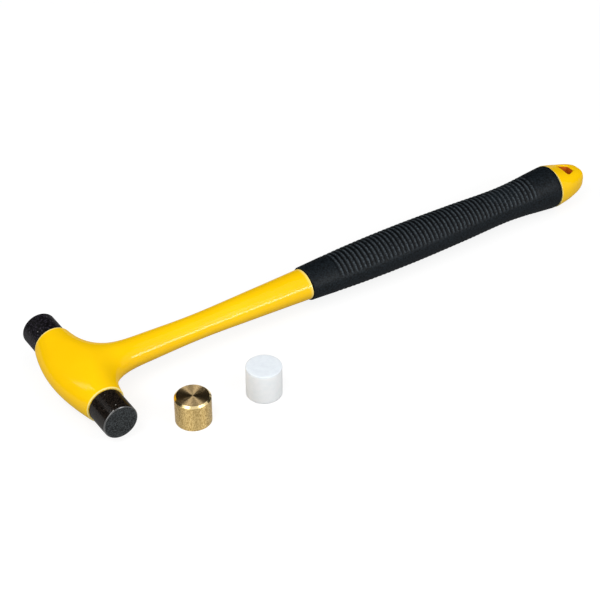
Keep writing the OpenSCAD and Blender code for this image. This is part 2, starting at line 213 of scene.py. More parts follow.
def headGrids():
    # rays from the head's axis, in planes across it, end on the blended form; the ray angles leave
    # out the shaft beyond the cut, so the grid's free edge is the shaft's outline at the cut
    s = paintedBody
    cut, half = s["cut"], s["headHalf"]
    a, b = along(shaftStations, cut)
    inner = a * np.sin(np.linspace(-1, 1, s["acrossShaft"]) * math.pi / 2)
    edge = half - s["collarEdge"] * (1 - np.sin(np.linspace(0, 1, s["acrossEdge"]) * math.pi / 2))
    outer = np.concatenate([np.linspace(a, half - s["collarEdge"], s["acrossHead"])[1:-1], edge])
    y = np.concatenate([-outer[::-1], inner, outer])
    rim = np.where(np.abs(y) < a, np.arctan2(roundHeight(y, a, b, s["sectionPower"]), cut), 0)
    steps = np.linspace(0, 1, s["halfAround"]) ** s["crowding"]
    top = rim[:, None] + (math.pi - rim)[:, None] * steps[None]
    turn = np.hstack([top, 2 * math.pi - top[:, -2::-1]])
    yy = np.broadcast_to(y[:, None], turn.shape)
    far = np.full(turn.shape, s["farAway"])
    r = reach(lambda t: headGap(t * np.cos(turn), yy, t * np.sin(turn)) < 0, far)
    z = r * np.sin(turn)
    over = np.maximum(0, np.abs(z) - s["levelFrom"])  # the crown is eased down to the solid's height
    z -= np.sign(z) * max(0, z.max() - crown) * (over / (z.max() - s["levelFrom"])) ** 3
    shell = np.stack([r * np.cos(turn), yy, z], -1)
    # a pale band at the collars' edges: wear, and a painted highlight where the rounded edges catch light
    wide = np.where(yy < 0, s["wearHighlightFront"], s["wearHighlightRear"])
    wearHighlight = np.clip(s["wearHighlightSteep"] * ((np.abs(yy) - half) / wide + 1), 0, 1)  # 1 at the collars' edges
    grids = [{"p": shell, "tone": wearHighlight}]
    for ring, side in ((shell[0], -1), (shell[-1], 1)):  # collar's end face, then the stud's blind hole
        flat = np.hypot(ring[:, 0], ring[:, 2])
        shares = np.linspace(0, 1, s["collarRings"])[:, None]
        rr = flat[None] * (1 - shares) + s["boreRadius"] * shares
        rr = np.vstack([rr, np.full((2, len(flat)), s["boreRadius"]), np.zeros((1, len(flat)))])
        deep = np.array([0.0] * s["collarRings"] + [s["boreStep"], s["boreDepth"], s["boreDepth"]])
        deep = deep[:, None] * np.ones_like(rr)
        d = ring / flat[:, None]
        grids.append({"p": np.stack([rr * d[:, 0], side * (half - deep), rr * d[:, 2]], -1)})
    return grids, inner / a


def shaftGrid(share):
    # rings of one superellipse from the cut to the grip, over a rounded lip, down a step, along the core
    s = paintedBody
    end, lip = s["gripStart"] - s["edgeGap"], s["lip"]
    x = np.concatenate([
        np.linspace(s["cut"], end - lip, s["shaftRings"]),
        end - lip * np.cos(np.linspace(s["lipFrom"], 1, s["lipRings"]) * math.pi / 2)])
    drop = lip * (1 - np.sqrt(np.maximum(0, 1 - np.maximum(0, (x - end + lip) / lip) ** 2)))
    core = np.linspace(s["gripStart"] + s["coreFrom"], s["gripEnd"] + s["coreInTail"], s["coreRings"])
    outer = np.array(along(shaftStations, x)) - drop
    inner = np.array(along(gripStations, np.minimum(core, gripStations[-1, 0]))) - s["sleeveWall"]
    half = np.hstack([outer, inner[:, :1], inner, np.zeros((2, 1))])
    x = np.concatenate([x, [end + s["stepDown"]], core, core[-1:]])
    high = roundHeight(share, 1.0, 1.0, s["sectionPower"])
    ring = np.vstack([np.stack([share, high], -1), np.stack([share[-2:0:-1], -high[-2:0:-1]], -1)])
    p = np.broadcast_to(x[:, None], (len(x), len(ring)))
    # a pale band up to the lip at the grip: wear and a painted highlight
    wearHighlight = np.clip(s["wearHighlightSteep"] * ((x - end) / s["wearHighlightLip"] + 1), 0, 1) * (x <= s["gripStart"])
    return {"p": np.stack([p, half[0][:, None] * ring[:, 0], half[1][:, None] * ring[:, 1]], -1),
            "wrapCols": True, "tone": np.broadcast_to(wearHighlight[:, None], p.shape)}


def tailHeight(x, y):  # half height of the tail: a superellipse that grows squarer towards the tip
    s = paintedBody
    a, b = along(tailStations, x)
    share = (x - s["gripEnd"]) / s["tailLength"]
    p = s["tailPower"] + (s["tipPower"] - s["tailPower"]) * np.clip(share / s["tipShare"], 0, 1)
    return roundHeight(y, np.maximum(a, 1e-3), b, p)


def tailGrids():
    # rays in plan from the hang hole's middle, between the hole and the outline: up from the hole's
    # rounded rim, out over the top, round the nose and back under; the hole's wall is a grid of its own
    s = paintedBody
    front, tip = s["gripEnd"] + s["edgeGap"], s["gripEnd"] + s["tailLength"]
    h0 = s["gripEnd"] + s["holeStart"]
    cx = h0 + s["holeLength"] * s["holeMiddleShare"]
    corner = math.atan2(along(tailStations, front)[0], front - cx)
    u = np.concatenate([
        np.linspace(-corner, corner, s["tailRays"]),
        np.linspace(corner, 2 * math.pi - corner, s["frontRays"])[1:-1]])
    c, n = np.cos(u), np.sin(u)
    k, w, t = s["holeCorner"], s["holeWidth"] / 2, s["holeTip"] / 2
    h1 = h0 + s["holeLength"]
    corners = np.array([[h0 + k, k - w], [h1 - k, k - t], [h1 - k, t - k], [h0 + k, w - k]])

    def inPlan(r):
        x, y = cx + r * c, r * n
        return (x > front) & (x < tip) & (np.abs(y) < along(tailStations, np.clip(x, front, tip))[0])

    def inHole(r):  # between the centres of the rounded corners, or nearer to that than their radius
        e = np.roll(corners, -1, 0) - corners
        v = np.stack([cx + r * c, r * n], -1)[:, None] - corners[None]
        share = np.clip((v * e).sum(-1) / (e * e).sum(-1), 0, 1)
        gap = np.linalg.norm(v - share[..., None] * e, axis=-1).min(1)
        return (e[:, 0] * v[..., 1] - e[:, 1] * v[..., 0] > 0).all(1) | (gap < k)

    far = np.full(u.shape, s["farAway"])
    rOut, rIn, f = reach(inPlan, far)[:, None], reach(inHole, far)[:, None], s["holeRound"]
    r = rIn + f + (rOut - rIn - f) * np.sin(np.linspace(0, 1, s["tailRings"]) * math.pi / 2)
    z = tailHeight(np.minimum(cx + r * c[:, None], tip), r * n[:, None])
    arc = np.linspace(0, 1, s["rimRings"])[:-1] * math.pi / 2
    r = np.hstack([rIn + f - f * np.cos(arc), r])
    z = np.hstack([z[:, :1] - f * (1 - np.sin(arc)), z])
    wall = np.linspace(-1, 1, s["wallRings"]) * z[:, :1]

    def spread(rr, zz):
        return np.stack([cx + rr * c[:, None], rr * n[:, None], zz], -1)

    skin = spread(np.hstack([r, r[:, ::-1]]), np.hstack([z, -z[:, ::-1]]))
    # a pale band along the tail's front rim: wear and a painted highlight
    wearHighlight = np.clip(1 - (skin[..., 0] - front) / s["lip"], 0, 1)
    # the hole's wall gets the second material, coloured as painted shade
    return [{"p": skin, "wrapRows": True, "tone": wearHighlight},
            {"p": spread(np.repeat(rIn, s["wallRings"], 1), wall), "wrapRows": True, "mat": 1}]


def yellowEnamel():
    # stoved enamel over a casting: saturated yellow under a clear coat that gives the gloss, with a faint
    # orange-peel ripple, and pale along the edges at the collars and the grip, as wear and as a painted
    # highlight
    m = newMaterial("yellow stoved enamel")
    co = node(m, "ShaderNodeTexCoord").outputs["Object"]
    peel = node(m, "ShaderNodeTexNoise", {
        "Scale": 1 / (paintedBody["peelSize"] * mm), "Detail": 2.0}, {"Vector": co})
    drift = node(m, "ShaderNodeTexNoise", {
        "Scale": 1 / (paintedBody["driftSize"] * mm), "Detail": 3.0}, {"Vector": co})
    tone = node(m, "ShaderNodeValToRGB", {
        "stops": [(0.3, paintedBody["paintDark"]), (0.7, paintedBody["paintLight"])]},
        {"Fac": drift.outputs["Fac"]})
    # the pale edge bands from the tone attribute: wear and a painted highlight
    edge = node(m, "ShaderNodeAttribute", {"attribute_name": "tone"})
    colour = node(m, "ShaderNodeMix", {"data_type": "RGBA", "B": linear(paintedBody["edgeWearHighlight"])}, {
        "Factor": edge.outputs["Fac"], "A": tone.outputs["Color"]})
    gloss = node(m, "ShaderNodeMapRange", {"To Min": 0.3, "To Max": 0.4}, {"Value": drift.outputs["Fac"]})
    bump = node(m, "ShaderNodeBump", {"Strength": 0.04, "Distance": 0.05 * mm}, {
        "Height": peel.outputs["Fac"]})
    shader = node(m, "ShaderNodeBsdfPrincipled", {
        "IOR": 1.5, "Specular IOR Level": 0.0, "Coat Weight": 0.15, "Coat IOR": 1.9,
        "Coat Roughness": 0.11}, {
        "Base Color": colour.outputs["Result"], "Roughness": gloss.outputs["Result"],
        "Normal": bump.outputs["Normal"], "Coat Normal": bump.outputs["Normal"]})
    node(m, "ShaderNodeOutputMaterial", None, {"Surface": shader.outputs[0]})
    return m


def holeShadeEnamel():
    # enamel inside the hang hole, coloured a darker burnt orange as painted shade for the hole's deep walls,
    # mottled at random
    m = newMaterial("enamel with painted hole shade")
    co = node(m, "ShaderNodeTexCoord").outputs["Object"]
    mottle = node(m, "ShaderNodeTexNoise", {
        "Scale": 1 / (paintedBody["mottleSize"] * mm), "Detail": 3.0}, {"Vector": co})
    # painted shade: the hole's walls are coloured darker and more orange than the enamel outside
    tone = node(m, "ShaderNodeValToRGB", {
        "stops": [(0.3, paintedBody["holeShadeDark"]), (0.7, paintedBody["holeShadeLight"])]},
        {"Fac": mottle.outputs["Fac"]})
    rough = node(m, "ShaderNodeMapRange", {"To Min": 0.3, "To Max": 0.5}, {"Value": mottle.outputs["Fac"]})
    shader = node(m, "ShaderNodeBsdfPrincipled", {"IOR": 1.5, "Specular IOR Level": 0.2}, {
        "Base Color": tone.outputs["Color"], "Roughness": rough.outputs["Result"]})
    node(m, "ShaderNodeOutputMaterial", None, {"Surface": shader.outputs[0]})
    return m


def placed(grid):  # from millimetres round the crossing to the frame
    grid["p"] = crossing + grid["p"] * mm
    return grid


heads, share = headGrids()
addPiece("painted_body", [placed(g) for g in [*heads, shaftGrid(share), *tailGrids()]],
         [yellowEnamel(), holeShadeEnamel()], paintedBody["sharp"], "hammer", ["body"])

# rubber grip: ribs on the two broad cheeks, smooth bands along the narrow sides
rubberGrip = {
    "ribPitch": 2.45, "firstRib": 133.0, "ribs": 48, "ribDepth": 0.42, "grooveShape": 1.15,
    "panelHalf": 64.0, "panelFade": 15.0, "bellRound": 0.4, "frontRound": 0.4, "edgeRun": 0.5,
    "plainFrom": 0.7, "plainTo": 0.55, "liningFrom": 3.0, "coreGap": 0.05,
    "around": 128, "perRib": 9, "frontRings": 8, "bellRings": 14, "sharp": 60,
    # groove colour: painted shade in the grooves; crest colour: ribs rubbed paler, with a painted highlight
    "grainSize": 0.7, "bloomSize": 14.0, "groove": "#000001", "skin": "#11161A", "crest": "#33393D"}


def gripHalf(x):  # half width and height of the grip, with its rounded bell
    bell = gripStations[-1, 0]
    a, b = along(gripStations, np.minimum(x, bell))
    t = np.clip((x - bell) / (paintedBody["gripEnd"] - bell), 0, 1)
    drop = rubberGrip["bellRound"] * (1 - np.sqrt(1 - t * t))
    return a - drop, b - drop


def gripGrid():
    # superellipse rings; on the two broad cheeks the skin sinks between rounded ribs, in a cosine wave
    g, s = rubberGrip, paintedBody
    start, end, pitch, run = s["gripStart"], s["gripEnd"], g["ribPitch"], g["edgeRun"]
    x = np.concatenate([
        start + run * (1 - np.cos(np.linspace(0, 1, g["frontRings"]) * math.pi / 2)),
        np.arange(start + g["plainFrom"], end - g["plainTo"], pitch / g["perRib"]),
        end - run * (1 - np.sin(np.linspace(0, 1, g["bellRings"]) * math.pi / 2))])
    turn = (np.arange(g["around"]) + 0.5) * 2 * math.pi / g["around"]
    a, b = gripHalf(x)
    ease = g["frontRound"] * (1 - np.sqrt(1 - np.maximum(0, 1 - (x - start) / run) ** 2))
    p = 2 / s["sectionPower"]
    cy = np.sign(np.cos(turn)) * np.abs(np.cos(turn)) ** p
    cz = np.sign(np.sin(turn)) * np.abs(np.sin(turn)) ** p
    last = g["firstRib"] + (g["ribs"] - 1) * pitch
    wave = (0.5 - 0.5 * np.cos(2 * math.pi * (x - g["firstRib"]) / pitch)) ** g["grooveShape"]
    zone = (np.clip((x - g["firstRib"] + pitch) / pitch, 0, 1)
            * np.clip((last + pitch - x) / pitch, 0, 1))
    cheek = np.degrees(np.arccos(np.abs(np.sin(turn))))  # turn away from the middle of a cheek
    fade = np.clip((g["panelHalf"] + g["panelFade"] / 2 - cheek) / g["panelFade"], 0, 1)
    panel = zone[:, None] * (fade * fade * (3 - 2 * fade))[None]
    sink = g["ribDepth"] * wave[:, None] * panel + ease[:, None]
    xi = np.array([x[-1], x[-1] - g["liningFrom"], x[0] + g["liningFrom"], x[0]])
    ia, ib = gripHalf(xi)
    w = s["sleeveWall"] - g["coreGap"]
    yAll = np.vstack([(a[:, None] - sink) * cy, (ia - w)[:, None] * cy])
    zAll = np.vstack([(b[:, None] - sink) * cz, (ib - w)[:, None] * cz])
    xAll = np.broadcast_to(np.concatenate([x, xi])[:, None], yAll.shape)
    # tone: the grooves darkened as painted shade, the ribs lightened as rubbing and a painted highlight
    tone = 0.5 + panel * (0.5 - wave[:, None])  # 0 in a groove, 1 on a rib, a half on plain skin
    tone = np.vstack([tone, np.full((len(xi), len(turn)), 0.5)])
    return {"p": np.stack([xAll, yAll, zAll], -1), "wrapRows": True, "wrapCols": True, "tone": tone}


def gripRubber():
    # moulded thermoplastic rubber: matte blue-black, with painted shade in the grooves and the ribs paler, as
    # rubbing and a painted highlight, and a fine eroded grain;
    # the real grain is some 0.15 mm wide and is drawn coarser to show
    m = newMaterial("moulded grip rubber")
    co = node(m, "ShaderNodeTexCoord").outputs["Object"]
    rib = node(m, "ShaderNodeAttribute", {"attribute_name": "tone"})
    grain = node(m, "ShaderNodeTexNoise", {
        "Scale": 1 / (rubberGrip["grainSize"] * mm), "Detail": 2.0, "Roughness": 0.6}, {"Vector": co})
    bloom = node(m, "ShaderNodeTexNoise", {
        "Scale": 1 / (rubberGrip["bloomSize"] * mm), "Detail": 2.0}, {"Vector": co})
    # painted shade in the grooves, paler ribs as rubbing and a painted highlight
    tone = node(m, "ShaderNodeValToRGB", {"stops": [
        (0.0, rubberGrip["groove"]), (0.5, rubberGrip["skin"]), (1.0, rubberGrip["crest"])]},
        {"Fac": rib.outputs["Fac"]})
    speck = node(m, "ShaderNodeMapRange", {
        "From Min": 0.35, "From Max": 0.65, "To Min": 0.15, "To Max": 1.85}, {"Value": grain.outputs["Fac"]})
    colour = node(m, "ShaderNodeVectorMath", {"operation": "SCALE"}, {
        0: tone.outputs["Color"], "Scale": speck.outputs["Result"]})
    rough = node(m, "ShaderNodeMapRange", {"To Min": 0.42, "To Max": 0.54}, {"Value": bloom.outputs["Fac"]})
    bump = node(m, "ShaderNodeBump", {"Strength": 0.7, "Distance": 0.2 * mm}, {
        "Height": grain.outputs["Fac"]})
    shader = node(m, "ShaderNodeBsdfPrincipled", {
        "IOR": 1.5, "Specular IOR Level": 0.0, "Coat Weight": 0.085, "Coat IOR": 1.9,
        "Coat Roughness": 0.45}, {
        "Base Color": colour.outputs["Vector"], "Roughness": rough.outputs["Result"],
        "Normal": bump.outputs["Normal"], "Coat Normal": bump.outputs["Normal"]})
    node(m, "ShaderNodeOutputMaterial", None, {"Surface": shader.outputs[0]})
    return m


addPiece("rubber_grip", [placed(gripGrid())], [gripRubber()], rubberGrip["sharp"],
         "hammer", ["grip_sleeve"])

# mounted faces: caps on the two collars, with a pocket for the threaded insert
mountedFace = {
    "radius": 8.0, "height": 13.4, "edge": 0.5, "base": 0.25, "pocket": 5.55, "pocketDepth": 9.65,
    "endShares": (0.0, 0.3, 0.6, 0.85), "rimPoints": 12, "sideStep": 1.0, "sideShare": 0.5,
    "spareShare": 0.55, "footStep": 0.5, "pocketStep": 0.3, "around": 160, "sharp": 40,
    "speckGap": 2.0, "speck": "#A9A6A0"}


def ringAround(axis, around):  # unit circle round an axis, starting from Z, or from X where the axis is Z
    axis = np.asarray(axis, float)
    side = np.array([0.0, 0.0, 1.0]) if abs(axis[2]) < 0.5 else np.array([1.0, 0.0, 0.0])
    turn = np.arange(around) * 2 * math.pi / around
    return turn, np.cos(turn)[:, None] * side + np.sin(turn)[:, None] * np.cross(axis, side)


def turned(profile, at, axis, around, bands):
    # a profile of (radius, distance) points carried round an axis that leaves the point at
    profile = np.asarray(profile, float)
    ring = ringAround(axis, around)[1]
    axis = np.asarray(axis, float)
    p = np.asarray(at) + mm * (profile[:, None, :1] * ring + profile[:, None, 1:] * axis)
    return [{"p": p[i:j + 1], "wrapCols": True, "mat": k} for i, j, k in bands]


def arcPoints(r, d, radius, start, stop, count):  # part of a circle in a profile, angles in degrees
    t = np.radians(np.linspace(start, stop, count))
    return np.stack([r + radius * np.cos(t), d + radius * np.sin(t)], -1)


def mountedProfile():  # end face, rounded rim, side, foot and pocket, with the bands of their materials
    f = mountedFace
    top, r, e, b = f["height"], f["radius"], f["edge"], f["base"]
    rim = arcPoints(r - e, top - e, e, 90, 0, f["rimPoints"])
    endFace = [[r * share, top] for share in f["endShares"]]
    sides = [[r, top - e - f["sideStep"]], [r, top * f["sideShare"]], [r, b + f["footStep"]],
             [r, b], [r - b, 0], [f["pocket"], 0]]
    deep, step = f["pocketDepth"], f["pocketStep"]
    pocket = [[f["pocket"], step], [f["pocket"], deep - step], [f["pocket"], deep], [0, deep]]
    points = np.vstack([endFace, rim, sides, pocket])
    a, b = len(endFace), len(endFace) + len(rim) - 1
    return points, [(0, a, 1), (a, b, 2), (b, len(points) - 1, 0)]


def blackCap(name, look):
    # black plastic or rubber: a dark tone broken by a grain that is drawn coarser than the real one to show,
    # a gleam as strong as the finish gives, and a few pale specks of dust where asked
    m = newMaterial(name)
    co = node(m, "ShaderNodeTexCoord").outputs["Object"]
    grain = node(m, "ShaderNodeTexNoise", {
        "Scale": 1 / (look["grain"] * mm), "Detail": 2.0, "Roughness": 0.6}, {"Vector": co})
    tone = node(m, "ShaderNodeValToRGB", {
        "stops": [(look["from"], look["dark"]), (look["to"], look["light"])]}, {"Fac": grain.outputs["Fac"]})
    cells = node(m, "ShaderNodeTexVoronoi", {"Scale": 1 / (mountedFace["speckGap"] * mm)}, {"Vector": co})
    near = node(m, "ShaderNodeMapRange", {"From Min": 0.16, "From Max": 0.08}, {
        "Value": cells.outputs["Distance"]})
    pick = node(m, "ShaderNodeMapRange", {"From Min": 0.62, "From Max": 0.64, "To Max": look["dust"]}, {
        "Value": cells.outputs["Color"]})
    speck = node(m, "ShaderNodeMath", {"operation": "MULTIPLY"}, {
        0: near.outputs["Result"], 1: pick.outputs["Result"]})
    colour = node(m, "ShaderNodeMix", {"data_type": "RGBA", "B": linear(mountedFace["speck"])}, {
        "Factor": speck.outputs[0], "A": tone.outputs["Color"]})
    rough = node(m, "ShaderNodeMapRange", {"To Min": 0.4, "To Max": 0.6}, {"Value": grain.outputs["Fac"]})
    bump = node(m, "ShaderNodeBump", {"Strength": look["lift"], "Distance": 0.06 * mm}, {
        "Height": grain.outputs["Fac"]})
    shader = node(m, "ShaderNodeBsdfPrincipled", {
        "IOR": 1.49, "Specular IOR Level": 0.0, "Coat Weight": look["gleam"], "Coat IOR": 1.9,
        "Coat Roughness": look["rough"]}, {
        "Base Color": colour.outputs["Result"], "Roughness": rough.outputs["Result"],
        "Normal": bump.outputs["Normal"], "Coat Normal": bump.outputs["Normal"]})
    node(m, "ShaderNodeOutputMaterial", None, {"Surface": shader.outputs[0]})
    return m


# hard moulded plastic: glossy side, end face dulled by fine grain, rim polished by wear
hardCap = [
    blackCap("glossy black plastic side", {
        "dark": "#080605", "light": "#241D18", "from": 0.4, "to": 0.62, "rough": 0.22, "grain": 0.7,
        "lift": 0.03, "gleam": 0.2, "dust": 0.9}),
    blackCap("grained black plastic end", {
        "dark": "#0B0C0C", "light": "#44484A", "from": 0.38, "to": 0.64, "rough": 0.4, "grain": 0.55,
        "lift": 0.6, "gleam": 0.1, "dust": 0.0}),
    blackCap("polished black plastic rim", {
        "dark": "#101010", "light": "#1A1A1A", "from": 0.4, "to": 0.62, "rough": 0.08, "grain": 0.8,
        "lift": 0.0, "gleam": 1.0, "dust": 0.0})]
# soft rubber: dull all over, with a blue cast
softCap = [
    blackCap("black rubber side", {
        "dark": "#020102", "light": "#3D3943", "from": 0.5, "to": 0.72, "rough": 0.4, "grain": 0.7,
        "lift": 0.3, "gleam": 0.19, "dust": 0.7}),
    blackCap("black rubber end", {
        "dark": "#020102", "light": "#3D3943", "from": 0.45, "to": 0.7, "rough": 0.45, "grain": 0.7,
        "lift": 0.3, "gleam": 0.1, "dust": 0.0}),
    blackCap("black rubber rim", {
        "dark": "#0A080C", "light": "#1A171D", "from": 0.4, "to": 0.62, "rough": 0.36, "grain": 0.7,
        "lift": 0.2, "gleam": 0.15, "dust": 0.0})]
profile, bands = mountedProfile()
seatFront = (crossing[0], frontHigh[1], crossing[2])
seatRear = (crossing[0], rearLow[1], crossing[2])
addPiece("front_plastic_face", turned(profile, seatFront, (0, -1, 0), mountedFace["around"], bands),
         hardCap, mountedFace["sharp"], "front face", ["front_face"])
addPiece("rear_rubber_face", turned(profile, seatRear, (0, 1, 0), mountedFace["around"], bands),
         softCap, mountedFace["sharp"], "rear face", ["rear_face"])

# studs: M8 thread cut as a helix, its free end broken
stud = {"radius": 4.0, "pitch": 1.25, "depth": 0.62, "flankShare": 0.44, "crestShare": 0.12, "out": 9.0,
        "in": 13.0, "threadFrom": -1.0, "break": 0.6, "holeDepth": 9.6, "holeGap": 0.05,
        "around": 64, "perPitch": 14, "sharp": 50,
        "spangleSize": 0.9, "zincDark": "#B4B8BD", "zincLight": "#C9CCCF"}


def threadDepth(d, turn):
    # share of the full depth at a place on a right-hand helix: flat crest, straight flanks, narrow root
    phase = np.mod(d / stud["pitch"] - turn / (2 * math.pi), 1.0)
    return np.clip((0.5 - np.abs(phase - 0.5)) / stud["flankShare"] - stud["crestShare"], 0, 1)


def studGrid(at, axis):
    # cylinder whose radius dips along the helix, closed at both ends
    t = stud
    d = np.concatenate([
        [-t["in"], -t["in"]], np.arange(t["threadFrom"], t["out"], t["pitch"] / t["perPitch"]),
        [t["out"], t["out"]]])
    turn, ring = ringAround(axis, t["around"])
    r = t["radius"] - t["depth"] * threadDepth(d[:, None], turn[None])
    r = np.minimum(r, t["radius"] - np.maximum(0, d - (t["out"] - t["break"]))[:, None])
    r[0], r[1], r[-1] = 0, t["radius"] - t["depth"], 0
    p = np.asarray(at) + mm * (r[..., None] * ring + d[:, None, None] * np.asarray(axis, float))
    return {"p": p, "wrapCols": True}


def zincSteel():
    # zinc plate on turned steel: pale grey, slightly blue, satin
    m = newMaterial("zinc plated steel")
    co = node(m, "ShaderNodeTexCoord").outputs["Object"]
    spangle = node(m, "ShaderNodeTexNoise", {
        "Scale": 1 / (stud["spangleSize"] * mm), "Detail": 3.0}, {"Vector": co})
    tone = node(m, "ShaderNodeValToRGB", {
        "stops": [(0.3, stud["zincDark"]), (0.7, stud["zincLight"])]}, {"Fac": spangle.outputs["Fac"]})
    rough = node(m, "ShaderNodeMapRange", {"To Min": 0.26, "To Max": 0.4}, {"Value": spangle.outputs["Fac"]})
    shader = node(m, "ShaderNodeBsdfPrincipled", {"Metallic": 1.0}, {
        "Base Color": tone.outputs["Color"], "Roughness": rough.outputs["Result"]})
    node(m, "ShaderNodeOutputMaterial", None, {"Surface": shader.outputs[0]})
    return m


zinc = zincSteel()
for side, end in (("front", -1), ("rear", 1)):
    collar = crossing + np.array([0, end * paintedBody["headHalf"] * mm, 0])
    addPiece(side + "_threaded_stud", [studGrid(collar, (0, end, 0))], [zinc], stud["sharp"],
             "hammer", [side + "_stud"])
    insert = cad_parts[side + "_insert"]  # plain bushes whose solids are right as they are
    insert.data.materials.clear()
    insert.data.materials.append(zinc)

# spare faces on the bench, tapped from below
brassSpare = {"height": 13.4, "chamfer": 0.85, "foot": 0.3, "lineGap": 0.45, "cloudSize": 0.5, "sharp": 30,
              "sideDark": "#86682F", "sideLight": "#DFC588", "endDark": "#957B50", "endLight": "#CFB78B",
              "edge": "#EBD7A5"}
nylonSpare = {"height": 15.0, "round": 0.5, "roundPoints": 8, "hazeSize": 2.5, "sharp": 40,
              # the side's colours are whiter than the end's: painted light on the side and painted shade on
              # the top, so that both come out alike
              "sideDark": "#F0F4F6", "sideLight": "#F7F9FA", "endDark": "#DEE4EA", "endLight": "#E6ECF1"}
waveUnit = 0.314  # a Wave texture's lines lie this far apart at scale 1


def spareGrids(nodeName, height, rim, foot):
    # turned cap: outside profile from the top's middle to the foot, then the helix up the tapped hole
    t, r, around = stud, mountedFace["radius"], mountedFace["around"]
    low, high = (np.array(c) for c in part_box(nodeName))
    at = np.array([(low[0] + high[0]) / 2, (low[1] + high[1]) / 2, low[2]])
    topFace = [[r * share, height] for share in mountedFace["endShares"]]
    mouth = t["radius"] + t["holeGap"]
    side = [[r, height * mountedFace["spareShare"]]]
    outside = np.vstack([topFace, rim, side, foot, [[mouth + t["break"], 0]]])
    a, b = len(topFace), len(topFace) + len(rim) - 1
    grids = turned(outside, at, (0, 0, 1), around, [(0, a, 1), (a, b, 2), (b, len(outside) - 1, 0)])
    d = np.concatenate([
        [0.0], np.arange(t["break"], t["holeDepth"], t["pitch"] / t["perPitch"]), [t["holeDepth"]] * 2])
    turn, ring = ringAround((0, 0, 1), around)
    rr = mouth - t["depth"] * (1 - threadDepth(d[:, None], turn[None]))
    rr[0], rr[-1] = mouth + t["break"], 0
    p = at + mm * (rr[..., None] * ring + d[:, None, None] * np.array([0, 0, 1.0]))
    return grids + [{"p": p, "wrapCols": True}]


def turnedBrass(name, centre, pattern, dark, light, rough, drawn):
    # turned free-cutting brass: tool lines run round it and draw each highlight out across them;
    # the real lines are some 0.1 mm apart and are drawn further apart to show
    m = newMaterial(name)
    co = node(m, "ShaderNodeTexCoord").outputs["Object"]
    place = node(m, "ShaderNodeMapping", {"Location": [-c for c in centre]}, {"Vector": co})
    lines = node(m, "ShaderNodeTexWave", {
        **pattern, "Scale": waveUnit / (brassSpare["lineGap"] * mm), "Distortion": 1.5, "Detail": 3.0,
        "Detail Scale": 2.0}, {"Vector": place.outputs["Vector"]})
    drawnOut = node(m, "ShaderNodeMapping", {"Scale": (1, 1, 0.45)}, {"Vector": co})
    cloud = node(m, "ShaderNodeTexNoise", {
        "Scale": 1 / (brassSpare["cloudSize"] * mm), "Detail": 3.0, "Roughness": 0.6}, {
        "Vector": drawnOut.outputs["Vector"]})
    both = node(m, "ShaderNodeMath", {"operation": "MULTIPLY_ADD", 1: 0.3}, {
        0: lines.outputs["Fac"], 2: cloud.outputs["Fac"]})
    tone = node(m, "ShaderNodeValToRGB", {"stops": [(0.48, dark), (0.82, light)]}, {"Fac": both.outputs[0]})
    tangent = node(m, "ShaderNodeTangent", {"direction_type": "RADIAL", "axis": "Z"})
    shader = node(m, "ShaderNodeBsdfPrincipled", {
        "Metallic": 1.0, "Roughness": rough, "Anisotropic": drawn, "Anisotropic Rotation": 0.25}, {
        "Base Color": tone.outputs["Color"], "Tangent": tangent.outputs["Tangent"]})
    node(m, "ShaderNodeOutputMaterial", None, {"Surface": shader.outputs[0]})
    return m


def whiteNylon(name, dark, light):
    # cast nylon bar, turned: milky white, light carried a little way under the skin
    m = newMaterial(name)
    co = node(m, "ShaderNodeTexCoord").outputs["Object"]
    haze = node(m, "ShaderNodeTexNoise", {
        "Scale": 1 / (nylonSpare["hazeSize"] * mm), "Detail": 3.0}, {"Vector": co})
    tone = node(m, "ShaderNodeValToRGB", {"stops": [(0.3, dark), (0.7, light)]}, {"Fac": haze.outputs["Fac"]})
    bump = node(m, "ShaderNodeBump", {"Strength": 0.08, "Distance": 0.05 * mm}, {
        "Height": haze.outputs["Fac"]})
    shader = node(m, "ShaderNodeBsdfPrincipled", {
        "IOR": 1.53, "Roughness": 0.5, "Specular IOR Level": 0.12, "Subsurface Weight": 0.5,
        "Subsurface Radius": (1.0, 1.0, 1.0), "Subsurface Scale": 2.0 * mm}, {
        "Base Color": tone.outputs["Color"], "Normal": bump.outputs["Normal"]})
    node(m, "ShaderNodeOutputMaterial", None, {"Surface": shader.outputs[0]})
    return m


r, c, foot = mountedFace["radius"], brassSpare["chamfer"], brassSpare["foot"]
brassMiddle = [(a + b) / 2 for a, b in zip(*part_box("brass_face"))]
brassRim = [[r - c, brassSpare["height"]], [r, brassSpare["height"] - c]]
brassFoot = [[r, foot], [r - foot, 0]]
brassSide = turnedBrass("turned brass side", brassMiddle, {"wave_type": "BANDS", "bands_direction": "Z"},
                        brassSpare["sideDark"], brassSpare["sideLight"], 0.4, 0.9)
brassEnd = turnedBrass("turned brass end", brassMiddle, {"wave_type": "RINGS", "rings_direction": "Z"},
                       brassSpare["endDark"], brassSpare["endLight"], 0.5, 0.97)
brassEdge = turnedBrass("polished brass edge", brassMiddle, {"wave_type": "BANDS", "bands_direction": "Z"},
                        brassSpare["sideLight"], brassSpare["edge"], 0.16, 0.2)
addPiece("brass_spare_face", spareGrids("brass_face", brassSpare["height"], brassRim, brassFoot),
         [brassSide, brassEnd, brassEdge], brassSpare["sharp"], "brass face", ["brass_face"])
e = nylonSpare["round"]
nylonRim = arcPoints(r - e, nylonSpare["height"] - e, e, 90, 0, nylonSpare["roundPoints"])
nylonFoot = arcPoints(r - e, e, e, 0, -90, nylonSpare["roundPoints"])
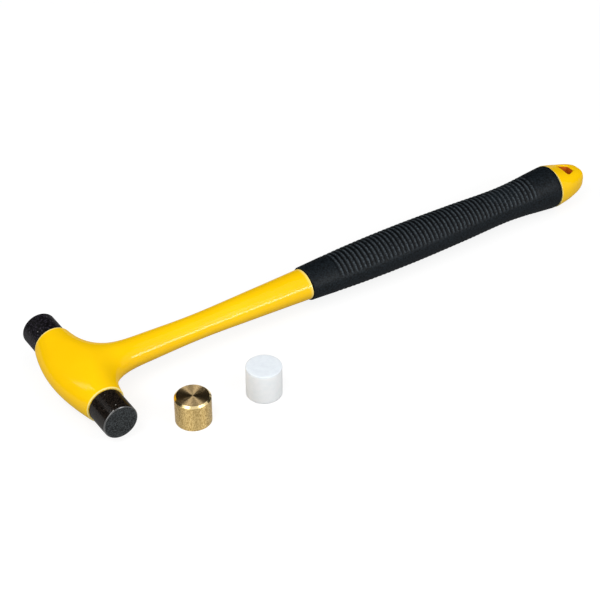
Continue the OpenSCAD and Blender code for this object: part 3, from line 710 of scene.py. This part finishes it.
# the side is coloured whiter as painted light; the top and its rounded rim are coloured greyer as painted
# shade
nylonSidePaintedLight = whiteNylon("white nylon side with painted light", nylonSpare["sideDark"], nylonSpare["sideLight"])
nylonTopPaintedShade = whiteNylon("white nylon top with painted shade", nylonSpare["endDark"], nylonSpare["endLight"])
addPiece("nylon_spare_face", spareGrids("nylon_face", nylonSpare["height"], nylonRim, nylonFoot),
         [nylonSidePaintedLight, nylonTopPaintedShade, nylonTopPaintedShade], nylonSpare["sharp"], "nylon face", ["nylon_face"])

# studio: white floor and surroundings, softboxes, a low strip and a dark cloth
studio = {
    "floorSize": 6.0, "worldFill": 0.38, "floorGlow": 0.82, "glowFrom": 0.4, "glowTo": 1.4,
    "floorShade": "#848484", "clothShade": "#4C4C4C",
    "left": {"place": (-0.66, -0.07, 0.88), "size": (0.75, 0.55), "power": 4.6},
    "right": {"place": (0.18, -0.64, 0.88), "size": (0.4, 0.4), "power": 1.5},
    "strip": {"place": (0.33, -0.8, 0.5), "size": (0.4, 0.22), "power": 3.8},
    "fill": {"place": (-0.92, -0.66, 0.4), "size": (0.9, 0.6), "power": 3.8},
    "patch": {"place": (-0.274, 0.197, 0.267), "size": (0.15, 0.03), "power": 0.06, "roll": 122},
    "cloth": {"radius": 1.1, "height": 2.4, "steps": 40, "from": 64, "to": 262}}  # degrees from the front
view = {"lens": 101.525, "sensor": 36.0, "azimuth": -33.626, "elevation": 37.379, "near": 0.01, "far": 20,
        "place": (-230.886, -519.56, 468.277)}  # mm from the crossing


def seenWhite(owner):  # 1 where a camera, mirror or glass ray looks at the surroundings
    path = node(owner, "ShaderNodeLightPath").outputs
    a = node(owner, "ShaderNodeMath", {"operation": "MAXIMUM"}, {
        0: path["Is Camera Ray"], 1: path["Is Glossy Ray"]})
    b = node(owner, "ShaderNodeMath", {"operation": "MAXIMUM"}, {
        0: a.outputs[0], 1: path["Is Transmission Ray"]})
    return b.outputs[0]


def paleFloor():
    # matt white paper: the glow makes it white to the eye, the shade under it takes the shadow
    m = newMaterial("pale studio paper")
    shade = node(m, "ShaderNodeBsdfDiffuse", {"Color": linear(studio["floorShade"])})
    co = node(m, "ShaderNodeTexCoord").outputs["Object"]
    far = node(m, "ShaderNodeVectorMath", {"operation": "LENGTH"}, {0: co})
    rise = node(m, "ShaderNodeMapRange", {  # white where the lamps no longer reach
        "From Min": studio["glowFrom"], "From Max": studio["glowTo"],
        "To Min": studio["floorGlow"], "To Max": 1.0}, {"Value": far.outputs["Value"]})
    glow = node(m, "ShaderNodeMath", {"operation": "MULTIPLY"}, {0: seenWhite(m), 1: rise.outputs["Result"]})
    light = node(m, "ShaderNodeEmission", {"Color": (1, 1, 1, 1)}, {"Strength": glow.outputs[0]})
    both = node(m, "ShaderNodeAddShader", None, {0: shade.outputs[0], 1: light.outputs[0]})
    node(m, "ShaderNodeOutputMaterial", None, {"Surface": both.outputs[0]})
    return m


def darkCloth():
    # plain woven cloth: an even dark grey that shows only as a reflection
    m = newMaterial("dark grey studio cloth")
    shade = node(m, "ShaderNodeBsdfDiffuse", {"Color": linear(studio["clothShade"])})
    node(m, "ShaderNodeOutputMaterial", None, {"Surface": shade.outputs[0]})
    return m


def stageSheet(name, low, high, material):  # quads between two rows of points
    count = len(low)
    mesh = bpy.data.meshes.new(name)
    mesh.from_pydata([*low, *high], [], [(i, i + 1, count + i + 1, count + i) for i in range(count - 1)])
    mesh.materials.append(material)
    sheet = bpy.data.objects.new(name, mesh)
    bpy.context.scene.collection.objects.link(sheet)
    return sheet


half = studio["floorSize"] / 2
stageSheet("floor", [(-half, -half, 0), (half, -half, 0)], [(-half, half, 0), (half, half, 0)], paleFloor())

# the cloth hangs in an arc opposite the camera and shows only in reflections
cloth = studio["cloth"]
turn = np.radians(np.linspace(cloth["from"], cloth["to"], cloth["steps"]))
low = np.stack([np.sin(turn), -np.cos(turn), np.zeros_like(turn)], -1) * cloth["radius"]
sheet = stageSheet("dark_cloth", low.tolist(), (low + [0, 0, cloth["height"]]).tolist(), darkCloth())
sheet.visible_camera = sheet.visible_diffuse = sheet.visible_shadow = sheet.visible_transmission = False

world = bpy.data.worlds.new("white studio")
world.use_nodes = True
world.node_tree.nodes.clear()
level = node(world, "ShaderNodeMapRange", {"To Min": studio["worldFill"], "To Max": 1.0}, {
    "Value": seenWhite(world)})
backdrop = node(world, "ShaderNodeBackground", {"Color": (1, 1, 1, 1)}, {"Strength": level.outputs["Result"]})
node(world, "ShaderNodeOutputWorld", None, {"Surface": backdrop.outputs[0]})
bpy.context.scene.world = world

for name in ("left", "right", "strip", "fill", "patch"):  # each lamp faces the origin
    box = studio[name]
    lamp = bpy.data.lights.new(name, "AREA")
    lamp.shape, lamp.energy = "RECTANGLE", box["power"]
    lamp.size, lamp.size_y = box["size"]
    holder = bpy.data.objects.new(name, lamp)
    holder.location = box["place"]
    roll = Quaternion((0, 0, 1), math.radians(box.get("roll", 0)))
    holder.rotation_euler = (Vector(box["place"]).to_track_quat("Z", "Y") @ roll).to_euler()
    bpy.context.scene.collection.objects.link(holder)

camera = bpy.data.cameras.new("camera")
camera.lens, camera.sensor_width, camera.sensor_fit = view["lens"], view["sensor"], "HORIZONTAL"
camera.clip_start, camera.clip_end = view["near"], view["far"]
eye = bpy.data.objects.new("camera", camera)
eye.location = crossing + np.array(view["place"]) * mm
eye.rotation_euler = (math.radians(90 - view["elevation"]), 0, math.radians(view["azimuth"]))
bpy.context.scene.collection.objects.link(eye)
bpy.context.scene.camera = eye
bpy.context.scene.view_settings.view_transform = "Standard"

print("studio ready")
